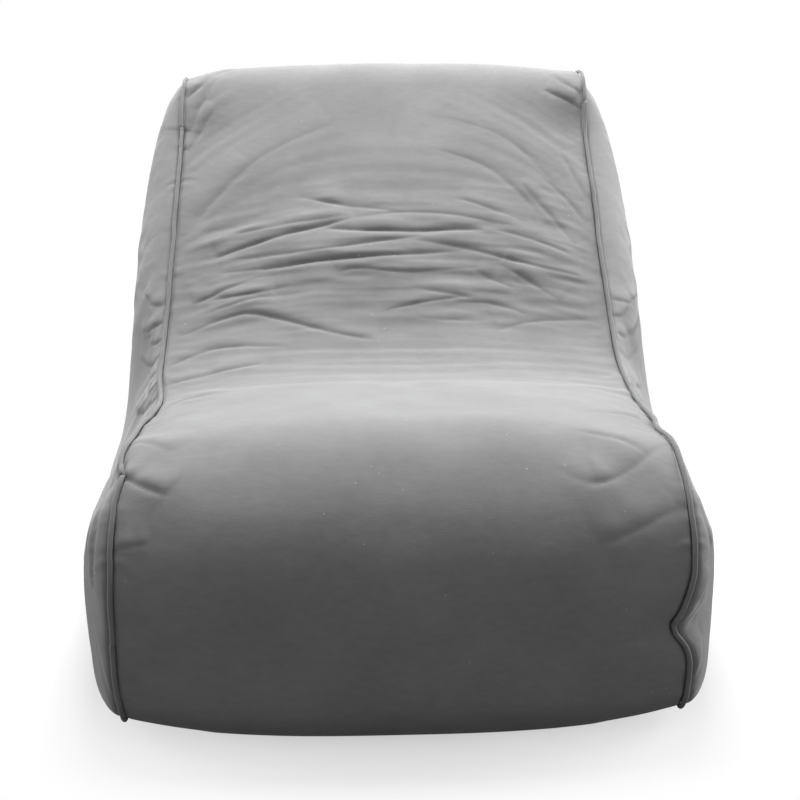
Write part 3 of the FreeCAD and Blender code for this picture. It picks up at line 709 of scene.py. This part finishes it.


def piece(name, points, faces, grain, place):
    """One panel of cloth as an object of its own, with cloth coordinates for its weave, and how near each
    point is to a side seam, which the cover material uses for the painted shade along the seam."""
    used, faces = np.unique(faces, return_inverse=True)
    faces = faces.reshape(-1, 4)
    made = new_mesh_object(name, points[used], [tuple(int(v) for v in f) for f in faces])
    layer = made.data.uv_layers.new(name="cloth")
    loops = np.empty(len(made.data.loops), dtype=np.int32)
    made.data.loops.foreach_get("vertex_index", loops)
    layer.data.foreach_set("uv", grain[used][loops][:, :2].ravel())
    # how near each point is to a side seam; the cover material paints shade along the seam from it
    seam = made.data.attributes.new("seam", "FLOAT", "POINT")
    seam.data.foreach_set("value", np.exp(-((place[used, 2] / SEAM_SHADE_REACH) ** 2)))
    made.data.shade_smooth()
    return made


def thicken(obj, thickness=CLOTH):
    modifier = obj.modifiers.new("cloth thickness", "SOLIDIFY")
    modifier.thickness = thickness
    modifier.offset = -1
    modifier.use_even_offset = False
    return obj


def cut_zip_slot(rear):
    """Opens the slot over the zip and parts the rear panel there. Returns the upper and lower panels."""
    form = form_of(rear)
    cut_along(form, [((0, 0, 1), (0, 0, z)) for z in (SLOT_Z[0], ZIP_Z, SLOT_Z[1])])
    cut_along(form, [((1, 0, 0), (x, 0, 0)) for x in (-SLOT_X, SLOT_X)])
    upper, lower = [], []
    for face in form.faces:
        middle = face.calc_center_median()
        if abs(middle.x) < SLOT_X and SLOT_Z[0] < middle.z < SLOT_Z[1]:
            continue
        (upper if middle.z > ZIP_Z else lower).append(face)
    made = []
    for name, kept in (("rear_upper_cloth", upper), ("rear_lower_cloth", lower)):
        keep = {face.index for face in kept}
        part = form.copy()
        part.faces.ensure_lookup_table()
        bmesh.ops.delete(part, geom=[f for f in part.faces if f.index not in keep], context="FACES")
        obj = in_scene(name, mesh_from(part, name))
        obj.data.shade_smooth()
        made.append(obj)
    form.free()
    bpy.data.objects.remove(rear)
    return made


# The plane between the two inner bags, and what the zips leave room for.
DIVIDE_AT = Vector((0, 0.008, 0.297))
DIVIDE_LEAN = math.radians(11.7)
UP_DIVIDE = Vector((0, -math.sin(DIVIDE_LEAN), math.cos(DIVIDE_LEAN)))
OUT_DIVIDE = Vector((0, math.cos(DIVIDE_LEAN), math.sin(DIVIDE_LEAN)))
BAG_HALF_SPACING = 0.007
BAG_REAR = 0.4815
BAG_WALL = 0.001
ZIP_ROOM = 0.0042
BAG_DEPTH, BEAD_DEPTH = 0.0085, 0.0105  # under the filled cover's surface
BAG_RISE, BEAD_RISE = 0.002, 0.0035  # above the floor
BEAD_GAP = 0.0005  # between the beads and a bag's wall where there is no zip
BAG_SLOT = (0.1898, 0.007)  # half the length and width of the slot over an inner zip
SEAT_ZIP_Z, BACK_ZIP_Z = 0.150, 0.160


def inner_form(name, inner, depth, rear, floor_rise, divide_offset, front):
    """One side of the filled form, depth under its surface, closed along the plane between the bags."""
    points, out, faces = inner
    points = points - out * depth
    points[:, 2] = np.maximum(points[:, 2], floor_rise)
    points[:, 1] = np.minimum(points[:, 1], rear)
    made = new_mesh_object(name, points, faces)
    edge = DIVIDE_AT + OUT_DIVIDE * divide_offset * (-1 if front else 1)
    form = form_of(made)
    cut = bmesh.ops.bisect_plane(form, geom=all_of(form), dist=1e-6, plane_co=edge, plane_no=OUT_DIVIDE,
                                 clear_outer=front, clear_inner=not front)
    rim = [e for e in cut["geom_cut"] if isinstance(e, bmesh.types.BMEdge)]
    bmesh.ops.edgeloop_fill(form, edges=rim)
    bmesh.ops.recalc_face_normals(form, faces=form.faces)
    put_back(form, made)
    made.data.shade_smooth()
    return made, edge


def open_slot(bag, spot, up, on_face):
    """Opens the slot over a bag's zip, centred on spot, in the faces that on_face picks."""
    half_long, half_wide = BAG_SLOT
    right = Vector((1, 0, 0))
    form = form_of(bag)
    for normal, half in ((up, half_wide), (right, half_long)):
        cut_along(form, [(normal, spot - normal * half), (normal, spot + normal * half)])
    inside = []
    for face in form.faces:
        off = face.calc_center_median() - spot
        if abs(off.x) < half_long and abs(off.dot(up)) < half_wide and on_face(face):
            inside.append(face)
    bmesh.ops.delete(form, geom=inside, context="FACES")
    put_back(form, bag)


def make_inner_bags(inner, cloth, beads):
    """The two inner bags and the beads in them."""
    for front, word in ((True, "seat"), (False, "back")):
        bag, edge = inner_form(f"{word}_bag_cloth", inner, BAG_DEPTH, BAG_REAR, BAG_RISE,
                               BAG_HALF_SPACING, front)
        if front:
            spot = edge + UP_DIVIDE * ((SEAT_ZIP_Z - edge.z) / UP_DIVIDE.z)
            open_slot(bag, spot, UP_DIVIDE,
                      lambda face: abs((face.calc_center_median() - edge).dot(OUT_DIVIDE)) < 1e-4)
        else:
            open_slot(bag, Vector((0, BAG_REAR, BACK_ZIP_Z)), Vector((0, 0, 1)),
                      lambda face: face.calc_center_median().y > BAG_REAR - 1e-4)
        dress(thicken(bag, BAG_WALL), cloth, "inner_bag_fabric", f"{word}_inner_bag", fill=PADDING)
        room = ZIP_ROOM if front else BEAD_GAP
        bead_rear, bead_offset = BAG_REAR - BAG_WALL - ZIP_ROOM, BAG_HALF_SPACING + BAG_WALL + room
        heap, _ = inner_form(f"{word}_beads", inner, BEAD_DEPTH, bead_rear, BEAD_RISE, bead_offset, front)
        dress(heap, beads, "bead_fill", f"{word}_bead_fill", fill=PADDING)


PIPING_SIDES = 14
PIPING_SUNK = 0.0020  # how deep the piping sits in the seam's groove
CORD = 0.0016


def tube(name, path, sides, radius):
    """A closed tube round the path. radius gives the radius at each (path point, angle), and sides the
    two unit vectors across the path at each point."""
    first, second = sides
    around = radius.shape[1]
    angles = np.linspace(0, 2 * math.pi, around, endpoint=False)
    rings = (path[:, None] + radius[..., None] * (np.cos(angles)[None, :, None] * first[:, None]
                                                  + np.sin(angles)[None, :, None] * second[:, None]))
    faces = []
    for i in range(len(path)):
        j = (i + 1) % len(path)
        for k in range(around):
            m = (k + 1) % around
            faces.append((i * around + k, i * around + m, j * around + m, j * around + k))
    made = new_mesh_object(name, rings.reshape(-1, 3), faces)
    face_outward(made)
    made.data.shade_smooth()
    return made


def make_piping(side, word, points, place, out):
    """The piping along one side seam: a sleeve with a cord inside."""
    on_seam = np.flatnonzero((place[:, 2] == 0) & (place[:, 0] * side > 0))
    turns = np.arctan2(points[on_seam, 2] - CORE[1], points[on_seam, 1] - CORE[0])
    order = on_seam[np.argsort(-turns)]
    path = points[order]
    along = np.concatenate(([0], np.cumsum(np.linalg.norm(np.diff(path, axis=0), axis=1))))
    lead = np.roll(path, -1, axis=0) - np.roll(path, 1, axis=0)
    lead /= np.linalg.norm(lead, axis=1)[:, None]
    outward = smoothed(out[order], 6)
    outward -= lead * (outward * lead).sum(1)[:, None]
    outward /= np.linalg.norm(outward, axis=1)[:, None]
    aside = np.cross(lead, outward)
    still = np.zeros(len(order))
    wobble = value_noise(along / 0.035, still + side, 21)[:, None] * 0.0008 * aside
    wobble = wobble + value_noise(along / 0.030, still + side, 22)[:, None] * 0.0004 * outward
    path = path + outward * (PIPING_OUT + GROOVE - PIPING_SUNK) + wobble
    path[:, 2] = np.maximum(path[:, 2], PIPING + 0.0005)
    angles = np.linspace(0, 2 * math.pi, PIPING_SIDES, endpoint=False)
    lengthwise = along[:, None] / 0.006 + np.zeros(PIPING_SIDES)
    crinkle = value_noise(lengthwise, np.cos(angles)[None] * 1.5 + 0 * along[:, None], 23)
    radius = PIPING * (0.97 + 0.03 * crinkle)
    sleeve = tube(f"{word}_piping", path, (outward, aside), radius)
    cord = tube(f"{word}_piping_core", path, (outward, aside), np.full((len(path), PIPING_SIDES), CORD))
    return sleeve, cord


# ---- materials


RIB_PITCH, YARN_PITCH = 0.0016, 0.0013


class Paint:
    """A node material with a few short ways to add nodes."""

    def __init__(self, name):
        self.material = bpy.data.materials.new(name)
        self.material.use_nodes = True
        self.nodes, self.links = self.material.node_tree.nodes, self.material.node_tree.links
        self.shader = self.nodes["Principled BSDF"]

    def add(self, kind, **settings):
        made = self.nodes.new(kind)
        for key, value in settings.items():
            if hasattr(made, key):
                setattr(made, key, value)
            else:
                made.inputs[key.replace("_", " ")].default_value = value
        return made

    def join(self, source, target):
        self.links.new(source, target)

    def set(self, **values):
        for key, value in values.items():
            self.shader.inputs[key.replace("_", " ")].default_value = value

    def place(self, uv=True):
        if uv:
            return self.add("ShaderNodeUVMap", uv_map="cloth").outputs[0]
        return self.add("ShaderNodeTexCoord").outputs["Object"]

    def noise(self, where, scale, detail=3.0, rough=0.55, stretch=(1, 1, 1)):
        mapping = self.add("ShaderNodeMapping")
        mapping.inputs["Scale"].default_value = stretch
        self.join(where, mapping.inputs["Vector"])
        made = self.add("ShaderNodeTexNoise", Scale=scale, Detail=detail, Roughness=rough)
        self.join(mapping.outputs[0], made.inputs["Vector"])
        return made.outputs[0]

    def math(self, kind, a, b=0):
        made = self.add("ShaderNodeMath", operation=kind)
        for socket, value in zip(made.inputs, (a, b)):
            if isinstance(value, (int, float)):
                socket.default_value = value
            else:
                self.join(value, socket)
        return made.outputs[0]

    def wave(self, value, pitch):
        return self.math("SINE", self.math("MULTIPLY", value, 2 * math.pi / pitch))

    def apart(self, vector):
        split = self.add("ShaderNodeSeparateXYZ")
        self.join(vector, split.inputs[0])
        return split.outputs

    def levels(self, value, low, high, to_low, to_high):
        made = self.add("ShaderNodeMapRange")
        ends = {"From Min": low, "From Max": high, "To Min": to_low, "To Max": to_high}
        for key, number in ends.items():
            made.inputs[key].default_value = number
        self.join(value, made.inputs["Value"])
        return made.outputs[0]

    def mix(self, factor, a, b):
        made = self.add("ShaderNodeMix", data_type="RGBA")
        for socket, value in ((made.inputs[0], factor), (made.inputs[6], a), (made.inputs[7], b)):
            if isinstance(value, (int, float)):
                socket.default_value = value
            elif isinstance(value, tuple):
                socket.default_value = (*value, 1)
            else:
                self.join(value, socket)
        return made.outputs[2]

    def bump(self, height, distance, strength=1.0, under=None):
        made = self.add("ShaderNodeBump", Distance=distance, Strength=strength)
        self.join(height, made.inputs["Height"])
        if under is not None:
            self.join(under, made.inputs["Normal"])
        return made.outputs[0]

    def finish(self, color=None, rough=None, normal=None):
        for value, key in ((color, "Base Color"), (rough, "Roughness"), (normal, "Normal")):
            if value is not None:
                self.join(value, self.shader.inputs[key])
        return self.material


def cover_cloth(name, grey):
    """Matte brushed polyester: fine ribs across the chair, a mottled nap, a few specks of lint, and a dark
    line of painted shade along the side seams.
    """
    paint = Paint(name)
    where = paint.place()
    dark, light = (grey * 0.87,) * 2 + (grey * 0.88,), (grey * 1.10,) * 2 + (grey * 1.11,)
    nap = paint.noise(where, 7, 5, 0.62)
    brushed = paint.noise(where, 60, 4, 0.6, (1, 2.4, 1))
    blotch = paint.math("ADD", paint.math("MULTIPLY", nap, 0.6), paint.math("MULTIPLY", brushed, 0.4))
    color = paint.mix(paint.levels(blotch, 0.36, 0.64, 0, 1), dark, light)
    grain = paint.noise(where, 900, 2, 0.5)
    color = paint.mix(paint.levels(grain, 0.3, 0.7, 0, 0.16), color, (grey * 0.72,) * 3)
    cells = paint.add("ShaderNodeTexVoronoi", Scale=120.0, Randomness=1.0)
    paint.join(where, cells.inputs["Vector"])
    rare = paint.add("ShaderNodeSeparateColor")
    paint.join(cells.outputs["Color"], rare.inputs[0])
    speck = paint.math("MULTIPLY", paint.math("LESS_THAN", cells.outputs["Distance"], 0.06),
                       paint.math("GREATER_THAN", rare.outputs[0], 0.955))
    color = paint.mix(speck, color, (0.8, 0.8, 0.79))
    # painted shade: the colour goes dark along the side seams, as the shadow in the crevice beside the
    # piping would
    seam = paint.add("ShaderNodeAttribute", attribute_name="seam")
    color = paint.mix(paint.math("MULTIPLY", seam.outputs["Fac"], 0.75), color, (grey * 0.18,) * 3)
    split = paint.apart(where)
    wander = paint.math("MULTIPLY", paint.noise(where, 40, 2, 0.5), RIB_PITCH)
    ribs = paint.wave(paint.math("ADD", split[1], wander), RIB_PITCH)
    yarns = paint.wave(split[0], YARN_PITCH)
    weave = paint.math("ADD", paint.math("MULTIPLY", ribs, 0.7), paint.math("MULTIPLY", yarns, 0.3))
    fluff = paint.noise(where, 700, 3, 0.6)
    normal = paint.bump(weave, 0.00010, 0.16)
    normal = paint.bump(fluff, 0.0005, 0.5, normal)
    normal = paint.bump(nap, 0.004, 0.35, normal)
    paint.set(Specular_IOR_Level=0.25, Sheen_Weight=0.35, Sheen_Roughness=0.45)
    return paint.finish(color, paint.levels(brushed, 0.3, 0.7, 0.82, 0.96), normal)


def scaled(color, share):
    return tuple(c * share for c in color)


def woven(name, color, pitch, rough=0.8, sheen=0.2):
    """Plain woven tape, cord, thread or cloth, with its weave at the given pitch."""
    paint = Paint(name)
    where = paint.place(uv=False)
    split = paint.apart(where)
    weave = paint.math("MULTIPLY", paint.wave(split[0], pitch), paint.wave(split[2], pitch))
    tone = paint.noise(where, 300, 3, 0.6)
    shade = paint.mix(paint.levels(tone, 0.3, 0.7, 0, 1), scaled(color, 0.8), scaled(color, 1.15))
    normal = paint.bump(weave, pitch * 0.25, 0.6)
    paint.set(Sheen_Weight=sheen, Specular_IOR_Level=0.3)
    return paint.finish(shade, paint.levels(tone, 0.3, 0.7, rough - 0.06, rough + 0.08), normal)


def hard(name, color, metallic, rough, scratch_scale):
    """Moulded plastic or painted die-cast metal with fine handling marks."""
    paint = Paint(name)
    where = paint.place(uv=False)
    marks = paint.noise(where, scratch_scale, 5, 0.7, (1, 1, 6))
    shade = paint.mix(paint.levels(marks, 0.35, 0.7, 0, 1), scaled(color, 0.85), scaled(color, 1.25))
    normal = paint.bump(marks, 0.0002, 0.3)
    paint.set(Metallic=metallic, Specular_IOR_Level=0.5)
    return paint.finish(shade, paint.levels(marks, 0.3, 0.7, rough - 0.08, rough + 0.12), normal)


def bead_heap(name):
    """Loose white polystyrene beads, greyed towards each bead's rim as painted shade between the beads."""
    paint = Paint(name)
    where = paint.place(uv=False)
    cells = paint.add("ShaderNodeTexVoronoi", Scale=260.0)
    paint.join(where, cells.inputs["Vector"])
    # painted shade: each bead goes from white at its middle to grey at its rim, where the gaps between
    # beads fall into shadow
    shade = paint.mix(cells.outputs["Distance"], (0.95, 0.95, 0.94), (0.62, 0.62, 0.62))
    round_top = paint.math("SUBTRACT", 1.0, cells.outputs["Distance"])
    paint.set(Specular_IOR_Level=0.4, Subsurface_Weight=0.1)
    return paint.finish(shade, paint.levels(cells.outputs["Distance"], 0, 0.8, 0.5, 0.8),
                        paint.bump(round_top, 0.003, 0.9))


def floor_paint():
    """A pale sweep that turns to plain white away from the chair and throws little light back up."""
    paint = Paint("pale floor")
    paint.set(Base_Color=(0.85, 0.85, 0.85, 1), Roughness=0.8, Specular_IOR_Level=0.1)
    distance = paint.add("ShaderNodeVectorMath", operation="LENGTH")
    paint.join(paint.place(uv=False), distance.inputs[0])
    far = paint.levels(distance.outputs["Value"], 0.22, 0.68, 0, 1)
    white = paint.add("ShaderNodeEmission", Strength=1.0)
    dark = paint.add("ShaderNodeBsdfDiffuse")
    dark.inputs["Color"].default_value = (0.10, 0.10, 0.10, 1)
    sweep, seen = paint.add("ShaderNodeMixShader"), paint.add("ShaderNodeMixShader")
    rays = paint.add("ShaderNodeLightPath")
    near = paint.shader.outputs[0]
    for mixer, sources in ((sweep, (far, near, white.outputs[0])),
                           (seen, (rays.outputs["Is Camera Ray"], dark.outputs[0], sweep.outputs[0]))):
        for source, target in zip(sources, mixer.inputs):
            paint.join(source, target)
    paint.join(seen.outputs[0], paint.nodes["Material Output"].inputs["Surface"])
    return paint.material


# ---- building the chair


PADDING = 0.75  # how full every padded piece is


def dress(obj, material, slot, *nodes, fill=None):
    """Gives a piece its material, fixes it to the chair's body, and hides the parts from model.glb that it
    stands in for.
    """
    obj.data.materials.clear()
    obj.data.materials.append(material)
    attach(obj, "chair")
    if nodes:
        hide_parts(*nodes)


def stitch_row(name, starts, ends, outward, radius=0.00045):
    """A row of thread stitches, each a small pointed barrel from its start to its end."""
    form = bmesh.new()
    shares, widths = (0.0, 0.25, 0.75, 1.0), (0.25, 1.0, 1.0, 0.25)
    for a, b in zip(starts, ends):
        run = (b - a).normalized()
        side = run.cross(outward).normalized()
        rings = []
        for share, width in zip(shares, widths):
            centre = a.lerp(b, share)
            turns = (k * math.pi / 3 for k in range(6))
            offs = [(side * math.cos(t) + outward * math.sin(t)) * radius * width for t in turns]
            rings.append([form.verts.new(centre + off) for off in offs])
        for low, high in zip(rings, rings[1:]):
            for k in range(6):
                form.faces.new((low[k], low[(k + 1) % 6], high[(k + 1) % 6], high[k]))
        form.faces.new(rings[0][::-1])
        form.faces.new(rings[-1])
    bmesh.ops.recalc_face_normals(form, faces=form.faces)
    made = in_scene(name, mesh_from(form, name))
    made.data.shade_smooth()
    return made


def zip_topstitching():
    """Two rows of stitches round the slot over the zip."""
    pitch, long, inset = 0.0040, 0.0030, 0.0022
    y = REAR_FLAT + 0.0002
    starts, ends = [], []
    for z in (SLOT_Z[0] - inset, SLOT_Z[1] + inset):
        for x in np.arange(-SLOT_X - inset, SLOT_X + inset - long, pitch):
            starts.append(Vector((x, y, z)))
            ends.append(Vector((x + long, y, z)))
    for x in (-SLOT_X - inset, SLOT_X + inset):
        for z in np.arange(SLOT_Z[0] - inset, SLOT_Z[1] + inset - long, pitch):
            starts.append(Vector((x, y, z)))
            ends.append(Vector((x, y, z + long)))
    return stitch_row("zip_topstitching", starts, ends, Vector((0, 1, 0)))


cover_paint = cover_cloth("cover cloth", 0.23)
piping_paint = cover_cloth("piping cloth", 0.20)

points, faces, panels, place, grain, out, inner = make_skin()
named = {MAIN: "front_seat_back_cloth", BASE: "base_cloth", REAR: "rear_cloth", LEFT: "left_side_cloth",
         RIGHT: "right_side_cloth"}
cloths = {panel: piece(name, points, faces[panels == panel], grain, place)
          for panel, name in named.items()}
rear_upper, rear_lower = cut_zip_slot(cloths.pop(REAR))
cad_names = {MAIN: "front_seat_and_back_panel", BASE: "base_panel", LEFT: "left_side_panel",
             RIGHT: "right_side_panel"}
for panel, obj in cloths.items():
    dress(thicken(obj), cover_paint, "cover_fabric", cad_names[panel], fill=PADDING)
for obj, node in ((rear_upper, "rear_upper_panel"), (rear_lower, "rear_lower_panel")):
    dress(thicken(obj), cover_paint, "cover_fabric", node, fill=PADDING)

cord_paint = woven("piping cord", (0.8, 0.79, 0.75), 0.0012)
for side, word in ((-1, "left"), (1, "right")):
    sleeve, cord = make_piping(side, word, points, place, out)
    dress(sleeve, piping_paint, "piping_fabric", f"{word}_piping_sleeve")
    dress(cord, cord_paint, "piping_cord", f"{word}_piping_cord")

thread_paint = woven("thread", (0.26, 0.26, 0.265), 0.0006)
dress(zip_topstitching(), thread_paint, "piping_fabric")

cad_paints = {
    "zip_tape": woven("zip tape", (0.10, 0.10, 0.105), 0.0009),
    "zip_teeth": hard("zip teeth", (0.07, 0.07, 0.075), 0.0, 0.38, 400),
    "zip_metal": hard("zip metal", (0.16, 0.16, 0.17), 0.85, 0.32, 500),
    "inner_bag_fabric": woven("inner bag cloth", (0.78, 0.78, 0.76), 0.0012),
    "bead_fill": bead_heap("beads"),
    "label": woven("label cloth", (0.85, 0.85, 0.84), 0.0006),
}
make_inner_bags(inner, cad_paints["inner_bag_fabric"], cad_paints["bead_fill"])
for entry in frame["record"]["subparts"]:
    node, slot = entry["node"], entry["material_slot"]
    if slot in cad_paints:
        mesh = frame["nodes"][node].data
        mesh.materials.clear()
        mesh.materials.append(cad_paints[slot])

# ---- floor, light and camera

floor_mesh = new_mesh_object("floor", [(-6, -6, 0), (6, -6, 0), (6, 6, 0), (-6, 6, 0)], [(0, 1, 2, 3)])
floor_mesh.location.z = -0.0005
floor_mesh.data.materials.append(floor_paint())


def soft_light(name, at, aim, size, power):
    data = bpy.data.lights.new(name, "AREA")
    data.shape = "RECTANGLE"
    data.size, data.size_y = size
    data.energy = power
    made = in_scene(name, data)
    made.location = at
    made.rotation_mode = "QUATERNION"
    made.rotation_quaternion = (Vector(aim) - Vector(at)).to_track_quat("-Z", "Y")
    return made


lights = [
    soft_light("right", (2.6, 0.75, 1.0), (0.3, 0.1, 0.2), (1.4, 1.2), 62),
    soft_light("left", (-2.6, 0.75, 1.0), (-0.3, 0.1, 0.2), (1.4, 1.2), 34),
    soft_light("overhead", (0.05, 0.70, 2.40), (0, -0.05, 0.3), (1.3, 1.0), 84),
]

world = bpy.data.worlds.new("studio")
bpy.context.scene.world = world
world.use_nodes = True
tree = world.node_tree
background, bright = tree.nodes["Background"], tree.nodes.new("ShaderNodeBackground")
for node, strength in ((background, 0.43), (bright, 1.0)):
    node.inputs["Color"].default_value = (1, 1, 1, 1)
    node.inputs["Strength"].default_value = strength
chooser = tree.nodes.new("ShaderNodeMixShader")
rays = tree.nodes.new("ShaderNodeLightPath")
tree.links.new(rays.outputs["Is Camera Ray"], chooser.inputs[0])
tree.links.new(background.outputs[0], chooser.inputs[1])
tree.links.new(bright.outputs[0], chooser.inputs[2])
tree.links.new(chooser.outputs[0], tree.nodes["World Output"].inputs["Surface"])
bpy.context.scene.view_settings.view_transform = "Standard"

PITCH, YAW, ROLL = (math.radians(a) for a in (18.0, 1.57, -0.39))
AWAY, EYE = 1.639, 0.763  # the camera's distance over the floor and its height
camera_data = bpy.data.cameras.new("camera")
camera_data.sensor_width = 36
camera_data.lens = 55.3
camera_data.shift_x, camera_data.shift_y = 0.011, 0.0054
camera = in_scene("camera", camera_data)
bpy.context.scene.camera = camera
stand = (-AWAY * math.sin(YAW), -AWAY * math.cos(YAW), EYE)
ahead = Vector((math.sin(YAW) * math.cos(PITCH), math.cos(YAW) * math.cos(PITCH), -math.sin(PITCH)))
turn = ahead.to_track_quat("-Z", "Y").to_matrix().to_4x4() @ Matrix.Rotation(ROLL, 4, "Z")
camera.matrix_world = Matrix.Translation(stand) @ turn
